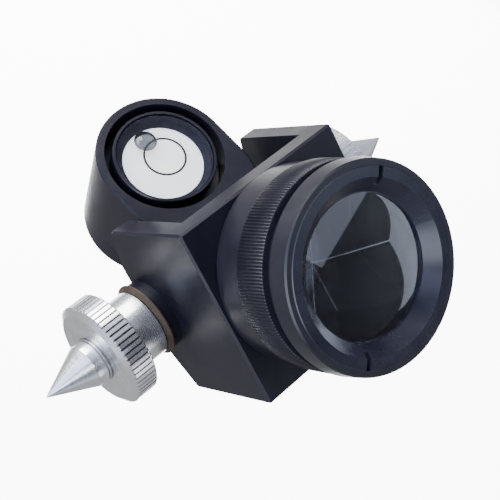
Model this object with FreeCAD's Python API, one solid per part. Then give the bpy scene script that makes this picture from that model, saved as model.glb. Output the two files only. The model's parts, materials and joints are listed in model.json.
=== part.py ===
import FreeCAD, Part
import math
import os

V = FreeCAD.Vector
X_AXIS = V(1, 0, 0)
Y_AXIS = V(0, 1, 0)
Z_AXIS = V(0, 0, 1)

# Survey mini prism. Units are mm.
# Row frame: +Z is the pole and vial axis, X is the tilt axis, the prism looks towards -Y.
# The origin is the centre of the pole thread's mouth in the flat bottom of the holder.

# Holder block with the round vial
HOLDER_H = 24.0
HOLDER_R = 13.25
NOSE_CENTRE = 7.5
NOSE_BOTTOM = 6.0
TONGUE_HALF = 14.4
TONGUE_R = 5.5
PIVOT_Y = -20.2
PIVOT_Z = 12.6
POCKET_R = 11.6
POCKET_FLOOR = 16.4
FLANGE_R = 11.4
FLANGE_Z0 = 17.0
FLANGE_Z1 = 18.2
CUP_R = 10.05
CUP_BORE_R = 9.5
DIAL_R = 8.15
DIAL_Z0 = 19.4
DIAL_Z1 = 19.95
LENS_R = 9.45
LENS_SKIRT_R = 8.9
LENS_Z1 = 23.55
LENS_UNDER = 22.4
INDEX_R = 4.0
BUBBLE_R = 2.25
BUBBLE_Y = 5.3
INSERT_R = 9.5
INSERT_H = 12.0
THREAD_R = 6.9
GRUB_R = 1.5

# Yoke, in its own level frame: x along the tilt axis, out from the pivot, up
REST_TILT = 53.9
YOKE_HALF_W = 18.9
YOKE_HALF_H = 17.95
PLATE_T = 4.7
PLATE_FACE = 24.1
ARM_T = 4.0
ARM_CORNER_BACK = 0.2
ARM_MID_BACK = 3.5
ARM_MID_HALF = 10.2
PLATE_BORE_R = 16.0
BOSS_R = 7.2
BOSS_END = 21.1
EDGE = 0.4

# Prism canister, measured outwards from the front face of the plate
SPIGOT_R = 15.93
SHOULDER_R = 18.15
GRIP_BACK = 7.0
GRIP_FRONT = 14.3
GRIP_R = 18.7
CORE_R = 17.3
BEZEL_BACK = 16.7
BEZEL_FRONT = 20.7
BEZEL_BACK_R = 18.8
BEZEL_FRONT_R = 18.4
RING_R = 17.25
RING_LIP_R = 15.3
RING_FRONT = 20.85
CONE_FOOT = 18.3
SLOT_W = 1.0
SLOT_FLOOR = 19.5
SLOT_ANGLE = 54.0
CLEAR_R = 12.7
GLASS_R = 13.6
BORE_R = 13.7
GLASS_FRONT = 17.65
GLASS_APEX = -7.5
CAP_R = 14.5
CAP_BACK = -9.0

# Clamp knobs and points, distances along the tilt axis from the centre
STUD_R = 2.0
BORE_FIT_R = 2.07
STUD_IN = 7.5
WASHER_IN = 21.2
WASHER_OUT = 22.1
WASHER_R = 7.65
COLLAR_IN = 22.17
COLLAR_R = 6.8
KNOB_BACK = 28.2
KNOB_FRONT = 33.6
KNOB_R = 10.65
KNOB_FACE_R = 9.3
FLUTES = 62
POINT_R = 4.4
POINT_BASE_END = 36.3
POINT_TIP = 45.5


def ring(r_out, r_in, z0, z1):
    """Ring about Z between two heights."""
    outer = Part.makeCylinder(r_out, z1 - z0, V(0, 0, z0), Z_AXIS)
    if r_in <= 0:
        return outer
    return outer.cut(Part.makeCylinder(r_in, z1 - z0 + 2, V(0, 0, z0 - 1), Z_AXIS))


def turned(points):
    """Solid of revolution about Z from (radius, height) points of a closed outline."""
    wire = Part.makePolygon([V(r, 0, z) for r, z in points + points[:1]])
    return Part.Face(wire).revolve(V(0, 0, 0), Z_AXIS, 360)


def place(shape, turn_axis, degrees, offset):
    """Turned and moved copy of a shape."""
    out = shape.copy()
    out.rotate(V(0, 0, 0), turn_axis, degrees)
    out.translate(offset)
    return out


def at_pivot(shape):
    """Level yoke frame (centred on the pivot, prism towards -Y) to the row frame at rest."""
    return place(shape, X_AXIS, -REST_TILT, V(0, PIVOT_Y, PIVOT_Z))


def on_plate(shape):
    """Canister frame (Z outwards from the plate face) to the row frame at rest."""
    return at_pivot(place(shape, X_AXIS, 90, V(0, -PLATE_FACE, 0)))


def on_side(shape, side):
    """Part turned about Z, laid along the tilt axis on side -1 or +1."""
    return place(shape, Y_AXIS, 90 * side, V(0, PIVOT_Y, PIVOT_Z))


# ---- holder body ----

def holder_plan(z0, z1):
    """Bullet-shaped block: flat sides running forward into a round nose."""
    back = Part.makeCylinder(HOLDER_R, z1 - z0, V(0, 0, z0), Z_AXIS)
    nose = Part.makeCylinder(HOLDER_R, z1 - z0, V(0, -NOSE_CENTRE, z0), Z_AXIS)
    mid = Part.makeBox(2 * HOLDER_R, NOSE_CENTRE, z1 - z0, V(-HOLDER_R, -NOSE_CENTRE, z0))
    return back.fuse([nose, mid]).removeSplitter()


def rim_edges(shape, height):
    """Outline edges of the shape that lie flat at one height."""
    keep = []
    for edge in shape.Edges:
        box = edge.BoundBox
        if abs(box.ZMin - height) < 1e-6 and abs(box.ZMax - height) < 1e-6:
            keep.append(edge)
    return keep


def vial_holder():
    block = holder_plan(NOSE_BOTTOM, HOLDER_H)
    block = block.makeChamfer(EDGE, rim_edges(block, HOLDER_H))
    base = ring(HOLDER_R, 0, 0, HOLDER_H - 2)
    base = base.makeChamfer(EDGE, rim_edges(base, 0))
    tongue_len = 2 * TONGUE_HALF
    tongue = Part.makeCylinder(TONGUE_R, tongue_len, V(-TONGUE_HALF, PIVOT_Y, PIVOT_Z), X_AXIS)
    web = Part.makeBox(tongue_len, 9, 2 * TONGUE_R, V(-TONGUE_HALF, PIVOT_Y, PIVOT_Z - TONGUE_R))
    body = block.fuse([base, tongue, web]).removeSplitter()
    body = body.cut(ring(POCKET_R, 0, POCKET_FLOOR, HOLDER_H + 1))
    body = body.cut(ring(INSERT_R, 0, -1, INSERT_H))
    body = body.cut(Part.makeCylinder(3.2, 40, V(-20, PIVOT_Y, PIVOT_Z), X_AXIS))
    body = body.cut(Part.makeCylinder(GRUB_R, 8, V(0, INSERT_R - 1, 6), Y_AXIS))
    for hole in vial_screw_axes():
        body = body.cut(Part.makeCylinder(0.5, 4, V(hole.x, hole.y, POCKET_FLOOR - 3), Z_AXIS))
    return body


def thread_insert():
    """Threaded bush for the pole."""
    return ring(INSERT_R, THREAD_R, 0, INSERT_H)


def insert_grub():
    """Grub screw locking the pole insert, with a hexagon socket."""
    screw = Part.makeCylinder(GRUB_R, 3.2, V(0, INSERT_R, 6), Y_AXIS)
    hexagon = Part.makePolygon([V(0.75 * math.cos(a), 0, 0.75 * math.sin(a))
                                for a in [math.radians(60 * k) for k in range(7)]])
    socket = Part.Face(hexagon).extrude(V(0, 2, 0))
    socket.translate(V(0, INSERT_R + 1.6, 6))
    return screw.cut(socket)


def vial_screw_axes():
    reach = 0.5 * (CUP_R + FLANGE_R)
    return [V(reach * math.cos(a), reach * math.sin(a), 0)
            for a in [math.radians(90 + 120 * k) for k in range(3)]]


def vial_screws():
    """Three tiny screws that hold the vial's flange down and level it."""
    out = []
    for axis in vial_screw_axes():
        head = ring(0.6, 0, FLANGE_Z1, FLANGE_Z1 + 0.8)
        shank = ring(0.5, 0, POCKET_FLOOR - 2.8, FLANGE_Z1)
        screw = head.fuse(shank)
        screw.translate(axis)
        out.append(screw)
    return Part.makeCompound(out)


def vial_cup():
    """Round metal case of the bubble vial: flange below, thin wall above."""
    body = turned([(0, FLANGE_Z0), (FLANGE_R, FLANGE_Z0), (FLANGE_R, FLANGE_Z1), (CUP_R, FLANGE_Z1),
                   (CUP_R, HOLDER_H - 0.15), (CUP_R - 0.15, HOLDER_H), (CUP_BORE_R, HOLDER_H),
                   (CUP_BORE_R, DIAL_Z1), (DIAL_R, DIAL_Z1), (DIAL_R, DIAL_Z0), (0, DIAL_Z0)])
    for axis in vial_screw_axes():
        body = body.cut(Part.makeCylinder(0.5, 3, V(axis.x, axis.y, FLANGE_Z0 - 1), Z_AXIS))
    return body


def vial_spring():
    """Rubber ring that the vial's flange is screwed down against."""
    body = ring(11.0, 8.0, POCKET_FLOOR, FLANGE_Z0)
    for axis in vial_screw_axes():
        body = body.cut(Part.makeCylinder(0.5, 3, V(axis.x, axis.y, POCKET_FLOOR - 1), Z_AXIS))
    return body


def vial_dial():
    return ring(DIAL_R, 0, DIAL_Z0, DIAL_Z1)


def vial_lens():
    """Clear window with a skirt, hollow below for the spirit and the bubble."""
    return turned([(0, LENS_UNDER), (LENS_SKIRT_R, LENS_UNDER - 0.2), (LENS_SKIRT_R, DIAL_Z1),
                   (LENS_R, DIAL_Z1), (LENS_R, LENS_Z1 - 0.15), (LENS_R - 0.15, LENS_Z1),
                   (0, LENS_Z1)])


def vial_index():
    """Black centring circle on the window."""
    return ring(INDEX_R + 0.12, INDEX_R - 0.12, LENS_Z1, LENS_Z1 + 0.06)


def bubble():
    """Flat round bubble lying against the underside of the window."""
    body = turned([(0, 21.25), (BUBBLE_R - 0.5, 21.25), (BUBBLE_R, 21.65), (BUBBLE_R - 0.4, 22.1),
                   (0, 22.12)])
    body.translate(V(0, BUBBLE_Y, 0))
    return body


def pivot_bush(side):
    """Brass thread bush for one clamp stud, in the holder's tongue."""
    return on_side(ring(3.2, BORE_FIT_R, 6.0, TONGUE_HALF), side)


def inner_washer(side):
    return on_side(ring(5.2, 2.2, TONGUE_HALF, TONGUE_HALF + 0.35), side)


# ---- yoke and canister ----

def yoke():
    """Milled U: front plate, two side arms drawn out behind the pivot, a boss on each arm."""
    outline = [(-PLATE_FACE, -YOKE_HALF_H), (-PLATE_FACE, YOKE_HALF_H),
               (ARM_CORNER_BACK, YOKE_HALF_H), (ARM_MID_BACK, ARM_MID_HALF),
               (ARM_MID_BACK, -ARM_MID_HALF), (ARM_CORNER_BACK, -YOKE_HALF_H)]
    wire = Part.makePolygon([V(-YOKE_HALF_W, y, z) for y, z in outline + outline[:1]])
    block = Part.Face(wire).extrude(V(2 * YOKE_HALF_W, 0, 0))
    block = block.makeChamfer(EDGE, block.Edges)
    boss = Part.makeCylinder(BOSS_R, 2 * BOSS_END, V(-BOSS_END, 0, 0), X_AXIS)
    block = block.fuse(boss.makeChamfer(0.2, boss.Edges[::2]))
    half_gap = YOKE_HALF_W - ARM_T
    inner = Part.makeBox(2 * half_gap, PLATE_FACE + 20, 2 * YOKE_HALF_H + 2,
                         V(-half_gap, PLATE_T - PLATE_FACE, -YOKE_HALF_H - 1))
    block = block.cut(inner)
    block = block.cut(Part.makeCylinder(PLATE_BORE_R, 20, V(0, -PLATE_FACE - 5, 0), Y_AXIS))
    block = block.cut(Part.makeCylinder(BORE_FIT_R, 60, V(-30, 0, 0), X_AXIS))
    return at_pivot(block)


def prism_barrel():
    """Threaded spigot, smooth shoulder and the core that carries the grip band."""
    return on_plate(turned([
        (CAP_R, -4.5), (SPIGOT_R, -4.5), (SPIGOT_R, 0.05), (SHOULDER_R - 0.2, 0.05),
        (SHOULDER_R, 0.25), (SHOULDER_R, GRIP_BACK), (CORE_R, GRIP_BACK), (CORE_R, BEZEL_BACK),
        (14.5, BEZEL_BACK), (14.5, 13.4), (BORE_R, 13.4), (BORE_R, -2.9), (CAP_R, -2.9)]))


def grip_band():
    return on_plate(turned([(CORE_R, GRIP_BACK), (GRIP_R - 0.25, GRIP_BACK),
                            (GRIP_R, GRIP_BACK + 0.25), (GRIP_R, GRIP_FRONT - 0.25),
                            (GRIP_R - 0.25, GRIP_FRONT), (CORE_R, GRIP_FRONT)]))


def front_bezel():
    """Smooth front band with a spigot into the barrel and a recess for the lock ring."""
    return on_plate(turned([
        (BORE_R, 13.4), (14.5, 13.4), (14.5, BEZEL_BACK), (BEZEL_BACK_R - 0.2, BEZEL_BACK),
        (BEZEL_BACK_R, BEZEL_BACK + 0.2), (BEZEL_FRONT_R + 0.1, BEZEL_FRONT - 0.3),
        (BEZEL_FRONT_R - 0.2, BEZEL_FRONT), (RING_R, BEZEL_FRONT), (RING_R, 17.1),
        (BORE_R, 17.1)]))


def front_gasket():
    return on_plate(ring(RING_R, BORE_R, 17.1, GLASS_FRONT))


def lock_ring():
    """Ring that holds the prism in: flat lip with two spanner slots, cone down to the glass."""
    body = turned([(CLEAR_R, GLASS_FRONT), (RING_R, GLASS_FRONT), (RING_R, RING_FRONT - 0.15),
                   (RING_R - 0.15, RING_FRONT), (RING_LIP_R, RING_FRONT),
                   (CLEAR_R + 0.2, CONE_FOOT + 0.1), (CLEAR_R, CONE_FOOT)])
    slot = Part.makeBox(RING_R, SLOT_W, 4, V(RING_LIP_R - 1.5, -SLOT_W / 2, SLOT_FLOOR))
    for angle in (SLOT_ANGLE, SLOT_ANGLE + 180):
        body = body.cut(place(slot, Z_AXIS, angle, V(0, 0, 0)))
    return on_plate(body)


def corner(apex):
    """Solid angle of a cube corner that points along -Z, its apex at one height."""
    cube = Part.makeBox(60, 60, 60)
    turn = FreeCAD.Rotation(V(1, 1, 1), Z_AXIS)
    cube.rotate(V(0, 0, 0), turn.Axis, math.degrees(turn.Angle))
    cube.translate(V(0, 0, apex))
    return cube


def prism_glass():
    """Corner-cube prism: round front, three mirrored faces meeting behind."""
    rod = ring(GLASS_R, 0, GLASS_APEX - 1, GLASS_FRONT)
    return on_plate(rod.common(corner(GLASS_APEX)))


def prism_coating():
    """Silvered coat on the three back faces of the prism."""
    rod = ring(GLASS_R, 0, GLASS_APEX - 1, GLASS_FRONT - 0.6)
    return on_plate(rod.common(corner(GLASS_APEX - 0.2)).cut(corner(GLASS_APEX)))


def rear_cushion():
    """Rubber ring behind the prism, shaped to its three faces."""
    return on_plate(ring(BORE_R, 7.0, -2.9, 1.0).cut(corner(GLASS_APEX - 0.2)))


def rear_cap():
    """Cup that closes the back of the canister behind the prism's point."""
    return on_plate(turned([
        (0, CAP_BACK), (12.0, CAP_BACK), (CAP_R, CAP_BACK + 2.5), (CAP_R, -2.9), (12.0, -2.9),
        (12.0, -6.5), (10.5, CAP_BACK + 1.0), (0, CAP_BACK + 1.0)]))


# ---- clamp knobs and points ----

def washer(side):
    """Fibre washer under the collar; the one on the left has a small torn edge."""
    body = turned([(BORE_FIT_R, WASHER_IN), (WASHER_R, WASHER_IN), (WASHER_R, WASHER_IN + 0.25),
                   (COLLAR_R, WASHER_OUT), (BORE_FIT_R, WASHER_OUT)])
    body = on_side(body, side)
    if side < 0:
        a = math.radians(155)
        tip = V(-WASHER_IN - 0.1, -8.6 * math.cos(a), 8.6 * math.sin(a))
        foot_a = V(-WASHER_IN - 0.1, -7.0 * math.cos(a - 0.2), 7.0 * math.sin(a - 0.2))
        foot_b = V(-WASHER_IN - 0.1, -7.0 * math.cos(a + 0.2), 7.0 * math.sin(a + 0.2))
        tab = Part.Face(Part.makePolygon([tip, foot_a, foot_b, tip])).extrude(V(-0.5, 0, 0))
        body = body.fuse(at_pivot(tab)).removeSplitter()
    return body


def knob(side):
    """Turned knob: smooth collar behind, straight flutes round the rim, chamfered face."""
    body = turned([(STUD_R, COLLAR_IN), (COLLAR_R - 0.2, COLLAR_IN), (COLLAR_R, COLLAR_IN + 0.2),
                   (COLLAR_R, KNOB_BACK), (KNOB_R - 0.3, KNOB_BACK), (KNOB_R, KNOB_BACK + 0.3),
                   (KNOB_R, KNOB_FRONT - 0.9), (KNOB_FACE_R, KNOB_FRONT), (STUD_R, KNOB_FRONT)])
    depth = 0.42
    half = 0.62 * math.pi * KNOB_R / FLUTES
    tooth = Part.makePolygon([V(KNOB_R - depth, 0, 0), V(KNOB_R + 0.3, half, 0),
                              V(KNOB_R + 0.3, -half, 0), V(KNOB_R - depth, 0, 0)])
    groove = Part.Face(tooth).extrude(V(0, 0, KNOB_FRONT - KNOB_BACK + 1))
    groove.translate(V(0, 0, KNOB_BACK - 0.5))
    cuts = []
    for k in range(FLUTES):
        cuts.append(place(groove, Z_AXIS, 360.0 * k / FLUTES, V(0, 0, 0)))
    return on_side(body.cut(Part.makeCompound(cuts)), side)


def point(side):
    """Hard point screwed to the knob: short cylinder with a neck ring, then a cone."""
    return on_side(turned([
        (0, KNOB_FRONT), (POINT_R, KNOB_FRONT), (POINT_R, KNOB_FRONT + 0.5),
        (POINT_R - 0.2, KNOB_FRONT + 0.6), (POINT_R - 0.2, KNOB_FRONT + 0.8),
        (POINT_R, KNOB_FRONT + 0.9), (POINT_R, POINT_BASE_END), (0.15, POINT_TIP - 0.1),
        (0, POINT_TIP)]), side)


def stud(side):
    return on_side(turned([(0, STUD_IN), (STUD_R - 0.3, STUD_IN), (STUD_R, STUD_IN + 0.3),
                           (STUD_R, KNOB_FRONT), (0, KNOB_FRONT)]), side)


NODES = {
    "vial_holder": vial_holder(),
    "thread_insert": thread_insert(),
    "insert_grub": insert_grub(),
    "vial_cup": vial_cup(),
    "vial_spring": vial_spring(),
    "vial_screws": vial_screws(),
    "vial_dial": vial_dial(),
    "vial_lens": vial_lens(),
    "vial_index": vial_index(),
    "bubble": bubble(),
    "pivot_bush_left": pivot_bush(-1),
    "pivot_bush_right": pivot_bush(1),
    "inner_washer_left": inner_washer(-1),
    "inner_washer_right": inner_washer(1),
    "yoke": yoke(),
    "prism_barrel": prism_barrel(),
    "grip_band": grip_band(),
    "front_bezel": front_bezel(),
    "front_gasket": front_gasket(),
    "lock_ring": lock_ring(),
    "prism_glass": prism_glass(),
    "prism_coating": prism_coating(),
    "rear_cushion": rear_cushion(),
    "rear_cap": rear_cap(),
    "washer_left": washer(-1),
    "washer_right": washer(1),
    "knob_left": knob(-1),
    "knob_right": knob(1),
    "point_left": point(-1),
    "point_right": point(1),
    "stud_left": stud(-1),
    "stud_right": stud(1),
}

os.makedirs("parts", exist_ok=True)
for name, shape in NODES.items():
    shape.exportStep("parts/" + name + ".step")
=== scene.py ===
import bpy
import bmesh
import json
import math
from mathutils import Euler, Matrix, Vector

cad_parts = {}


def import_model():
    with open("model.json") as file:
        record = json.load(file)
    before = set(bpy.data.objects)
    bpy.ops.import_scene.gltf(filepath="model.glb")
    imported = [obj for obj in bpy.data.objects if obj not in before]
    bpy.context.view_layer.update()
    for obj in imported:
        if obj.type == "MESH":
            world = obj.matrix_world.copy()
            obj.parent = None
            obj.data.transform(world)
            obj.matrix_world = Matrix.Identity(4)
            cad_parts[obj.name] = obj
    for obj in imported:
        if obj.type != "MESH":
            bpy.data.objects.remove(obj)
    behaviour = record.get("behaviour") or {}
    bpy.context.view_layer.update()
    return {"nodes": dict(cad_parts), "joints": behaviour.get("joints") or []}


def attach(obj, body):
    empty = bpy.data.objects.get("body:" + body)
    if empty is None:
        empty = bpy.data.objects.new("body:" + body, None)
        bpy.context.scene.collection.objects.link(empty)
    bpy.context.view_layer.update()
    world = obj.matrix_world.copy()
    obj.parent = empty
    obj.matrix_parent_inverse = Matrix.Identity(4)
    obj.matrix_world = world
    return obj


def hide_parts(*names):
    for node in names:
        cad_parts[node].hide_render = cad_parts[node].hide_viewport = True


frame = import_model()
nodes = frame["nodes"]
joints = {j["name"]: j for j in frame["joints"]}

# Frames, with lengths in metres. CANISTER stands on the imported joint, and its Z runs out of the front face.
# UPRIGHT is the part's own frame, whose Z is the axis of the bubble vial.
PIVOT = Vector(joints["yoke_tilt"]["pos_m"])
FACE = Vector(joints["canister_turn"]["pos_m"])
OUT = Vector(joints["canister_turn"]["axis"]).normalized()
UP = Vector((0, OUT.z, -OUT.y))
AXES = Matrix(((1, UP.x, OUT.x), (0, UP.y, OUT.y), (0, UP.z, OUT.z)))
CANISTER = Matrix.Translation(FACE) @ AXES.to_4x4()
UPRIGHT = Matrix.Identity(4)

# Indices of a Mix node's colour sockets, whose names are shared with its other types
MIX_A, MIX_B, MIX_RESULT = 6, 7, 2

# Colours that finishes share
# Paler edge colour: partly wear, partly a painted highlight
WORN_EDGE_HIGHLIGHT = (0.024, 0.024, 0.034)
# Darker steel for painted shade in the flutes and on inward faces
SHADED_STEEL = (0.3, 0.3, 0.31)
# Colour of the painted glow
PAINTED_GLOW_WHITE = (0.93, 0.97, 1.0)

# Radius of a ring of points that closes a lathed shape round its axis
CLOSING = 0.0001


# ---------- small node helpers ----------

class Graph:
    """Short calls for the nodes of one tree."""

    def __init__(self, tree):
        self.tree = tree

    def set(self, node, key, value):
        node.inputs[key].default_value = value

    def add(self, kind, **props):
        node = self.tree.nodes.new(kind)
        for key, value in props.items():
            setattr(node, key, value)
        return node

    def link(self, a, b):
        self.tree.links.new(a, b)

    def place(self, matrix=None):
        """Object coordinates, or the same place seen from another frame."""
        out = self.add("ShaderNodeTexCoord").outputs["Object"]
        if matrix is None:
            return out
        back = matrix.inverted()
        node = self.add("ShaderNodeMapping")
        self.set(node, "Location", back.to_translation())
        self.set(node, "Rotation", back.to_euler())
        self.link(out, node.inputs["Vector"])
        return node.outputs["Vector"]

    def math(self, kind, *sockets):
        node = self.add("ShaderNodeMath", operation=kind)
        for source, slot in zip(sockets, node.inputs):
            self.link(source, slot)
        return node.outputs[0]

    def noise(self, vector, scale, detail=3, rough=0.5):
        node = self.add("ShaderNodeTexNoise")
        self.set(node, "Scale", scale)
        self.set(node, "Detail", detail)
        self.set(node, "Roughness", rough)
        self.link(vector, node.inputs["Vector"])
        return node.outputs["Fac"]

    def turned(self, matrix, density=9000):
        """Fine lathe rings: noise over radius and length only, round the Z axis of a frame."""
        parts = self.add("ShaderNodeSeparateXYZ")
        self.link(self.place(matrix), parts.inputs[0])
        x, y, z = parts.outputs
        squares = self.math("ADD", self.math("MULTIPLY", x, x), self.math("MULTIPLY", y, y))
        both = self.add("ShaderNodeCombineXYZ")
        self.link(self.math("SQRT", squares), both.inputs[0])
        self.link(z, both.inputs[1])
        return self.noise(both.outputs[0], density, 2, 0.6)

    def ramp(self, value, low, high, a, b, kind="LINEAR"):
        """Value between low and high mapped to a..b, and held there outside them."""
        node = self.add("ShaderNodeMapRange", interpolation_type=kind)
        self.link(value, node.inputs["Value"])
        for key, number in zip(("From Min", "From Max", "To Min", "To Max"), (low, high, a, b)):
            self.set(node, key, number)
        return node.outputs[0]

    def spread(self, noise, a=0.0, b=1.0):
        """Noise, which lies mostly between 0.3 and 0.7, mapped to a..b."""
        return self.ramp(noise, 0.3, 0.7, a, b)

    def blend(self, value, first, second):
        """First colour at 0, second at 1; each is a colour or a socket."""
        node = self.add("ShaderNodeMix", data_type="RGBA")
        self.link(value, node.inputs[0])
        for index, color in ((MIX_A, first), (MIX_B, second)):
            if isinstance(color, bpy.types.NodeSocket):
                self.link(color, node.inputs[index])
            else:
                self.set(node, index, (*color, 1))
        return node.outputs[MIX_RESULT]

    def mottle(self, noise, base, down, up):
        """Base colour, multiplied by down where the noise is low and by up where it is high."""
        return self.blend(self.spread(noise), [c * down for c in base], [min(1, c * up) for c in base])


class Finish(Graph):
    """A material with a Principled shader."""

    def __init__(self, name, color, rough, metal=0.0):
        self.mat = bpy.data.materials.new(name)
        self.mat.use_nodes = True
        super().__init__(self.mat.node_tree)
        self.bsdf = self.tree.nodes["Principled BSDF"]
        self.fix("Base Color", (*color, 1))
        self.fix("Roughness", rough)
        self.fix("Metallic", metal)

    def fix(self, key, value):
        """Constant value of a shader input."""
        self.set(self.bsdf, key, value)

    def vary(self, key, socket):
        """Shader input that follows a socket."""
        self.link(socket, self.bsdf.inputs[key])

    def bump(self, height, distance, strength=0.5):
        node = self.add("ShaderNodeBump")
        self.set(node, "Strength", strength)
        self.set(node, "Distance", distance)
        self.link(height, node.inputs["Height"])
        self.vary("Normal", node.outputs[0])

    def edges(self):
        """1 along sharp edges, 0 on flats: rounded normal against the true one."""
        rounded = self.add("ShaderNodeBevel", samples=4)
        self.set(rounded, "Radius", 0.00018)
        true = self.add("ShaderNodeNewGeometry")
        dot = self.add("ShaderNodeVectorMath", operation="DOT_PRODUCT")
        self.link(rounded.outputs[0], dot.inputs[0])
        self.link(true.outputs["Normal"], dot.inputs[1])
        return self.ramp(dot.outputs["Value"], 0.995, 0.90, 0.0, 1.0)


# ---------- finishes ----------

def anodised(name, matrix=None, base=(0.0078, 0.0074, 0.0135), rough=0.25, level=0.42,
             lathe=False, worn_highlit_edges=True):
    """Black anodised aluminium with faint patches and paler edges, partly wear and partly a painted
    highlight, turned or finely blasted.
    """
    g = Finish(name, base, rough)
    g.fix("Specular IOR Level", level)
    where = g.place(matrix)
    patches = g.noise(where, 180)
    body = g.mottle(patches, base, 0.85, 1.2)
    if worn_highlit_edges:
        # Paler edges: partly wear, partly a painted highlight along the edges
        wear_and_highlight = g.math("MULTIPLY", g.edges(), g.ramp(patches, 0.35, 0.65, 0.35, 0.8))
        body = g.blend(wear_and_highlight, body, WORN_EDGE_HIGHLIGHT)
    g.vary("Base Color", body)
    g.vary("Roughness", g.spread(patches, rough - 0.04, rough + 0.06))
    if lathe:
        g.bump(g.turned(matrix), 0.000012)
    else:
        g.bump(g.noise(where, 9000, 2), 0.000003)
    return g.mat


def steel(name, matrix, base=(0.86, 0.86, 0.87), rough=0.22, metal=0.92, inward=None):
    """Turned metal with fine lathe rings.

    With an inward direction, the flutes and the faces that look that way get a painted shade.
    """
    g = Finish(name, base, rough, metal)
    rings = g.turned(matrix, 7000)
    body = g.mottle(g.noise(g.place(matrix), 260), base, 0.92, 1.06)
    if inward:
        shade = g.add("ShaderNodeAmbientOcclusion", samples=16)
        g.set(shade, "Distance", 0.0007)
        facing = g.add("ShaderNodeVectorMath", operation="DOT_PRODUCT")
        g.link(g.add("ShaderNodeTexCoord").outputs["Normal"], facing.inputs[0])
        g.set(facing, 1, inward)
        out_of_flute_shade = g.ramp(shade.outputs["AO"], 0.55, 0.95, 0, 1)
        out_of_inward_shade = g.ramp(facing.outputs["Value"], 0.8, 0.95, 1, 0)
        # Painted shade: darker steel in the flutes and on faces that look inward
        body = g.blend(g.math("MINIMUM", out_of_flute_shade, out_of_inward_shade), SHADED_STEEL, body)
    g.vary("Base Color", body)
    g.vary("Roughness", g.spread(rings, rough - 0.06, rough + 0.1))
    g.bump(rings, 0.000004)
    return g.mat


def plain(name, base, rough, grain=4000, depth=0.00002, contrast=0.12, level=0.5, painted_glow=0.0):
    """Matt surface with a fine grain, which may also carry a painted glow of cool white light."""
    g = Finish(name, base, rough)
    g.fix("Specular IOR Level", level)
    where = g.place()
    g.vary("Base Color", g.mottle(g.noise(where, 300), base, 1 - contrast, 1 + contrast))
    pores = g.noise(where, grain, 2)
    g.vary("Roughness", g.spread(pores, rough - 0.05, rough + 0.05))
    g.bump(pores, depth, 0.6)
    # Painted glow: the surface gives off light though it is no lamp
    if painted_glow:
        g.fix("Emission Color", (*PAINTED_GLOW_WHITE, 1))
        g.fix("Emission Strength", painted_glow)
    return g.mat


def silvered(name):
    """Mirror coating with a slightly uneven gloss."""
    g = Finish(name, (0.66, 0.66, 0.69), 0.05, 0.9)
    g.vary("Roughness", g.spread(g.noise(g.place(), 900, 2), 0.04, 0.07))
    return g.mat


def clear(name, ior, color):
    """Clear solid with a smooth surface."""
    g = Finish(name, color, 0.0)
    g.fix("Transmission Weight", 1.0)
    g.fix("IOR", ior)
    return g.mat


# ---------- mesh helpers ----------

def piece(name, verts, faces, body, mats, picks=None, smooth=True, angle=32):
    """Mesh object that rides on a body.

    Picks holds each face's index in mats, and edges above the angle, in degrees, stay sharp.
    """
    mesh = bpy.data.meshes.new(name)
    mesh.from_pydata([tuple(v) for v in verts], [], faces)
    bm = bmesh.new()
    bm.from_mesh(mesh)
    bmesh.ops.recalc_face_normals(bm, faces=bm.faces)
    bm.to_mesh(mesh)
    bm.free()
    for mat in mats:
        mesh.materials.append(mat)
    for face in mesh.polygons:
        face.use_smooth = smooth
        if picks:
            face.material_index = picks[face.index]
    obj = bpy.data.objects.new(name, mesh)
    bpy.context.scene.collection.objects.link(obj)
    if smooth:
        mesh.set_sharp_from_angle(angle=math.radians(angle))
    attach(obj, body)
    return obj


def lathe_faces(rows, count):
    """Quads between neighbouring rings of count points."""
    faces = []
    for i in range(rows - 1):
        for j in range(count):
            k = (j + 1) % count
            faces.append((i * count + j, i * count + k, (i + 1) * count + k, (i + 1) * count + j))
    return faces


def loop_faces(rows, count):
    """Lathe faces with the last ring joined back to the first, for a closed ring."""
    last = (rows - 1) * count
    back = [(j, (j + 1) % count, last + (j + 1) % count, last + j) for j in range(count)]
    return lathe_faces(rows, count) + back


def solid_faces(rows, count):
    """Lathe faces with the first and the last ring closed."""
    last = (rows - 1) * count
    return lathe_faces(rows, count) + [tuple(range(count)), tuple(reversed(range(last, last + count)))]


def ring_rows(rows, count, matrix=UPRIGHT, radius_of=lambda row, turn: row[0]):
    """A ring of points for each row (radius, height); radius_of(row, turn) may change the radius."""
    verts = []
    for row in rows:
        for j in range(count):
            a = 2 * math.pi * j / count
            r = radius_of(row, j / count)
            verts.append(matrix @ Vector((r * math.cos(a), r * math.sin(a), row[1])))
    return verts


def side_frame(sign):
    """Frame whose Z runs outwards along the tilt axis on one side."""
    return Matrix.Translation(PIVOT) @ Matrix.Rotation(math.radians(90 * sign), 4, "Y")


# ---------- finishes of the CAD nodes ----------

def give(mat, *names):
    for name in names:
        obj = nodes[name]
        obj.data.materials.clear()
        obj.data.materials.append(mat)


black_block = anodised("black_block", rough=0.36, level=0.28)
black_turned = anodised("black_turned", CANISTER, base=(0.01, 0.0096, 0.0155), rough=0.33, lathe=True)
black_ring = anodised("black_ring", CANISTER, base=(0.012, 0.0118, 0.0215), rough=0.24, lathe=True)
vial_black = anodised("vial_black", UPRIGHT, rough=0.24, lathe=True)
rubber = plain("black_rubber", (0.02, 0.02, 0.022), 0.7)
brass = steel("brass", UPRIGHT, (0.62, 0.43, 0.17), 0.3, 1.0)
dark_steel = steel("dark_steel", UPRIGHT, (0.09, 0.09, 0.095), 0.35, 1.0)
left_steel = steel("steel_left", side_frame(-1), inward=(1, 0, 0))
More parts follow.
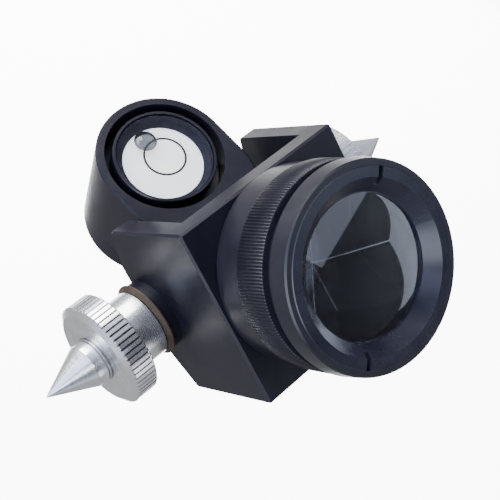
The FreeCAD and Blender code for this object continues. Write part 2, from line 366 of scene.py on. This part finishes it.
# The far knob's steel is a lighter copy: painted light on that side
right_steel_lit = steel("steel_right_lit", side_frame(1), (0.9, 0.9, 0.91), 0.28)
nylon = plain("nylon", (0.72, 0.68, 0.58), 0.45)
fibre = plain("tan_fibre", (0.045, 0.03, 0.019), 0.6, grain=2500, depth=0.00005, contrast=0.3)
# The dial carries a painted glow that keeps it bright white under the clear window
white_dial = plain("white_dial", (0.97, 0.97, 0.98), 0.5, contrast=0.02, depth=0.000005, painted_glow=1.4)
silver = silvered("silver_coat")

give(black_block, "vial_holder", "yoke")
give(black_turned, "prism_barrel", "front_bezel", "rear_cap")
give(black_ring, "lock_ring")
give(vial_black, "vial_cup")
give(rubber, "vial_spring", "front_gasket", "rear_cushion")
give(dark_steel, "insert_grub", "vial_screws")
give(brass, "thread_insert", "pivot_bush_left", "pivot_bush_right")
give(nylon, "inner_washer_left", "inner_washer_right")
give(fibre, "washer_left", "washer_right")
give(white_dial, "vial_dial")
give(silver, "prism_coating")
give(left_steel, "point_left", "stud_left", "knob_left")
give(right_steel_lit, "point_right", "stud_right", "knob_right")


# ---------- canister: knurled band ----------

def grip_knurl():
    """Closed ring with fine straight ridges and bevelled rims."""
    ridges, per_ridge = 200, 6
    bore, rim, outer, groove = 0.0173, 0.01845, 0.0187, 0.00026
    back, middle, front, bevel = 0.0070, 0.0108, 0.0143, 0.00022
    rows = [(bore, back), (rim, back), (outer, back + bevel), (outer, middle), (outer, front - bevel),
            (rim, front), (bore, front)]

    def radius(row, turn):
        wave = 0.5 - 0.5 * math.cos(2 * math.pi * turn * ridges)
        return bore if row[0] == bore else min(row[0], outer - groove * wave)

    count = ridges * per_ridge
    knurl = anodised("black_knurl", CANISTER, rough=0.34, worn_highlit_edges=False)
    obj = piece("grip_knurl", ring_rows(rows, count, CANISTER, radius), loop_faces(len(rows), count),
                "canister", [knurl], angle=60)
    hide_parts("grip_band")


# ---------- prism: rod with a dark side of painted shade and three silvered back faces ---

def prism():
    """Glass rod whose three back faces stand square to each other and meet at the apex.

    The side is black, a painted shade for the ring's shadow and the unlit wall, with one bare crescent of
    ground glass round the first edge. Thin ground bevels run along the edges between the silvered faces.
    """
    r, front, apex = 0.0136, 0.01765, -0.0075
    bevel, front_bevel, front_wall = 0.00013, 0.0002, 0.0004
    crescent_top, crescent_lip = 0.015, 0.00003
    crescent_end, crescent_taper = math.radians(53), math.radians(16)
    steps, third_turn = 80, math.radians(120)
    edge = [math.radians(a) for a in (-15, 105, 225)]
    slope = math.sqrt(2)
    near = bevel / (slope * r)
    angles = []
    for e in edge:
        angles += [e, e + near]
        angles += [e + third_turn * j / steps for j in range(1, steps)]
        angles += [e + third_turn - near]
    n, third = len(angles), len(angles) // 3

    def low(a):
        """Height at which the back faces meet the side."""
        return apex + max(slope * r * math.cos(a - e - third_turn / 2) for e in edge)

    def shade_start(a):
        """Height at which the painted shade starts, above the crescent."""
        off = min(abs((a - e + math.pi) % (2 * math.pi) - math.pi) for e in edge)
        share = max(0.0, min(1.0, (crescent_end - off) / crescent_taper))
        return low(a) + crescent_lip + max(0, crescent_top - low(a)) * math.sqrt(share)

    def ring(radius, heights):
        return [Vector((radius * math.cos(a), radius * math.sin(a), z)) for a, z in zip(angles, heights)]

    verts = ring(r, [low(a) for a in angles]) + ring(r, [shade_start(a) for a in angles])
    verts += ring(r, [front - front_wall] * n) + ring(r - front_bevel, [front] * n)
    tip, centre, inner = 4 * n, 4 * n + 1, 4 * n + 2
    verts += [Vector((0, 0, apex)), Vector((0, 0, front))]
    for e in edge:
        middle = e + third_turn / 2
        along = Vector((math.cos(middle), math.sin(middle), slope))
        verts.append(Vector((0, 0, apex)) + bevel * math.sqrt(2 / 3) * along)

    glass, ground, coat, shade_black = range(4)
    faces, picks = [], []

    def face(pick, *corners):
        faces.append(corners)
        picks.append(pick)

    for j in range(n):
        k = (j + 1) % n
        side, within = divmod(j, third)
        bare = side == 0 and within < third / 2 or side == 2 and within > third / 2
        # Black faces of the side are painted shade: the ring's shadow and the unlit wall
        for row, pick in ((0, ground if bare else shade_black), (1, shade_black), (2, shade_black)):
            face(pick, row * n + j, row * n + k, (row + 1) * n + k, (row + 1) * n + j)
        face(glass, centre, 3 * n + j, 3 * n + k)
        if within == 0:
            face(ground, inner + side, k, j, tip)
        elif within == third - 1:
            face(ground, inner + side, tip, k, j)
        else:
            face(coat, inner + side, k, j)
    mats = [clear("prism_clear", 1.52, (0.985, 0.99, 0.99)),
            plain("ground_side", (0.92, 0.925, 0.95), 0.75, contrast=0.06, depth=0.00001),
            silver,
            # Painted shade on the side wall
            plain("side_painted_shade", (0.035, 0.035, 0.046), 0.9, contrast=0.1, depth=0.00001)]
    obj = piece("prism_rod", [CANISTER @ v for v in verts], faces, "canister",
                mats, picks, smooth=False)
    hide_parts("prism_glass")


# ---------- bubble vial ----------

def vial():
    """Clear window with the printed circle on its top and the bubble inside.

    The outer ring of the window's underside, its wall and its top bevel are black.
    """
    r, opening, bottom, top, bevel = 0.00945, 0.00785, 0.01998, 0.02355, 0.0002
    count = 128
    rows = [(CLOSING, bottom), (opening, bottom), (r, bottom), (r, top - bevel), (r - bevel, top),
            (r * 0.5, top), (CLOSING, top)]
    faces = solid_faces(len(rows), count)
    black_faces = range(count, 4 * count)
    picks = [int(i in black_faces) for i in range(len(faces))]
    acrylic = clear("acrylic", 1.42, (0.98, 0.985, 0.985))
    dull_black = plain("dull_black", (0.045, 0.045, 0.07), 0.9, contrast=0.1, depth=0.000001, level=0.0)
    window = piece("vial_window", ring_rows(rows, count), faces, "holder",
                   [acrylic, dull_black], picks)
    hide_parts("vial_lens")

    inside, outside, thick = 0.00379, 0.00421, 0.00006
    line = [(inside, top), (outside, top), (outside, top + thick), (inside, top + thick)]
    ink = plain("black_ink", (0.008, 0.008, 0.009), 0.4, contrast=0.2, depth=0.000005)
    circle = piece("vial_circle", ring_rows(line, count), loop_faces(len(line), count), "holder",
                   [ink])
    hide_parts("vial_index")

    middle = Matrix.Translation((0, 0.0053, 0.02155))
    half_width, half_height = 0.00222, 0.0006
    bands, count = 12, 64
    turns = [math.pi * (j / bands - 0.5) for j in range(bands + 1)]
    oval = [(max(CLOSING, half_width * math.cos(t)), half_height * math.sin(t)) for t in turns]
    # The air's grey tint is painted shade: it darkens the bubble
    shaded_air = clear("air_in_spirit", 0.704, (0.2, 0.205, 0.235))
    bubble = piece("vial_bubble", ring_rows(oval, count, middle), solid_faces(len(oval), count), "bubble",
                   [shaded_air])
    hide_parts("bubble")


grip_knurl()
prism()
vial()


# ---------- stage, light, camera ----------

def floor():
    """Pale floor far below the object, as if it were up on a pole, with two soft pools of light."""
    half, height = 9, -1.5
    corners = [(-half, -half, height), (half, -half, height), (half, half, height), (-half, half, height)]
    mesh = bpy.data.meshes.new("floor")
    mesh.from_pydata(corners, [], [(0, 1, 2, 3)])
    g = Finish("floor_white", (0.12, 0.12, 0.121), 0.9)

    def pool(x, y, near, far, inside, outside):
        """Brightness round a point of the floor: inside up to near, outside from far on."""
        away = g.add("ShaderNodeVectorMath", operation="DISTANCE")
        g.link(g.place(), away.inputs[0])
        g.set(away, 1, (x, y, height))
        return g.ramp(away.outputs["Value"], near, far, inside, outside, "SMOOTHSTEP")

    small = pool(0.87, 0.37, 0.60, 0.80, 9.5, 0.0)
    wide = pool(1.15, 1.4, 0.3, 1.7, 3.4, 0.4)
    g.vary("Emission Strength", g.math("ADD", small, wide))
    g.fix("Emission Color", (1, 1, 1, 1))
    g.fix("Specular IOR Level", 0.0)
    mesh.materials.append(g.mat)
    obj = bpy.data.objects.new("floor", mesh)
    bpy.context.scene.collection.objects.link(obj)


def softbox(name, azimuth, elevation, distance, size, power, color=(1, 1, 1)):
    """Square area light that looks at the object; azimuth 0 is in front of it and 90 on its right."""
    aim = Vector((0, -0.02, 0.02))
    a, e = math.radians(azimuth), math.radians(elevation)
    back = Vector((math.sin(a) * math.cos(e), -math.cos(a) * math.cos(e), math.sin(e)))
    light = bpy.data.lights.new(name, "AREA")
    light.size = size
    light.energy = power
    light.color = color
    obj = bpy.data.objects.new(name, light)
    obj.location = aim + back * distance
    obj.rotation_euler = (-back).to_track_quat("-Z", "Y").to_euler()
    bpy.context.scene.collection.objects.link(obj)


def world():
    """Cool sky, brighter at the horizon than overhead."""
    sky = bpy.data.worlds.new("studio")
    sky.use_nodes = True
    g = Graph(sky.node_tree)
    background = g.tree.nodes["Background"]
    g.set(background, "Color", (0.80, 0.84, 1.0, 1))
    parts = g.add("ShaderNodeSeparateXYZ")
    g.link(g.add("ShaderNodeTexCoord").outputs["Generated"], parts.inputs[0])
    g.link(g.ramp(parts.outputs["Z"], 0.08, 0.33, 0.9, 0.1), background.inputs["Strength"])
    bpy.context.scene.world = sky


def camera():
    """Camera above the object's front left, looking down on it."""
    cam = bpy.data.objects.new("camera", bpy.data.cameras.new("camera"))
    cam.location = (-0.11091, -0.07563, 0.23242)
    cam.rotation_euler = Euler((math.radians(27.135), math.radians(-13.183), math.radians(-45.263)))
    cam.data.lens = 93.0
    cam.data.shift_x = -0.0813
    cam.data.shift_y = 0.0461
    cam.data.clip_start = 0.01
    bpy.context.scene.collection.objects.link(cam)
    bpy.context.scene.camera = cam


floor()
world()
softbox("key_back_right", 114, 58, 0.7, 0.62, 0.8, (0.74, 0.79, 1.0))
softbox("fill_left", -120, 46, 0.8, 0.7, 4.5, (0.62, 0.72, 1.0))
softbox("top_back", 178, 36, 0.65, 0.5, 12)
softbox("front_low", 21, 1, 0.8, 0.4, 0.55)
softbox("front_right", 44, 39, 0.7, 0.3, 0.75, (0.7, 0.78, 1.0))
softbox("left", -72, 27, 0.7, 0.5, 5.6, (0.8, 0.87, 1.0))
camera()
